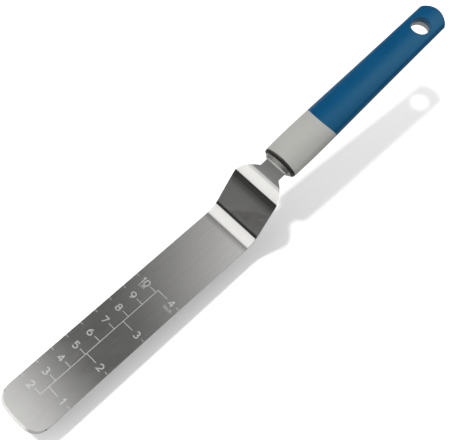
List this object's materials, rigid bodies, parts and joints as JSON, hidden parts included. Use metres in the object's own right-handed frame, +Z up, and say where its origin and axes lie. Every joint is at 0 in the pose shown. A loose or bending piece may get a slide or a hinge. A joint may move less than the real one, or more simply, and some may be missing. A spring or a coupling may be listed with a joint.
{
  "type": "offset spatula",
  "caption": "Cranked icing spatula: rounded flat steel blade with an etched scale, two bends, and a two-colour plastic handle with a hanging hole.",
  "frame": {"origin": "middle of the spatula's length and width, on the plane of the blade's underside", "axes": "+X from the blade's tip towards the handle's end, +Z up from the blade towards the raised handle, +Y to the left of someone at the tip who looks towards the handle"},
  "size_m": [0.3201, 0.031, 0.0568],
  "materials": {
    "blade_steel": "satin brushed stainless, scale etched pale",
    "cap_steel": "satin stainless with a dark rounded rim",
    "grey_plastic": "light warm grey, fine matt grain",
    "blue_plastic": "deep blue, satin soft grip"
  },
  "bodies": {
    "root": {"blade": "blade_steel", "front_cap": "cap_steel", "handle_core": "grey_plastic", "grip_cover": "blue_plastic"}
  },
  "joints": []
}
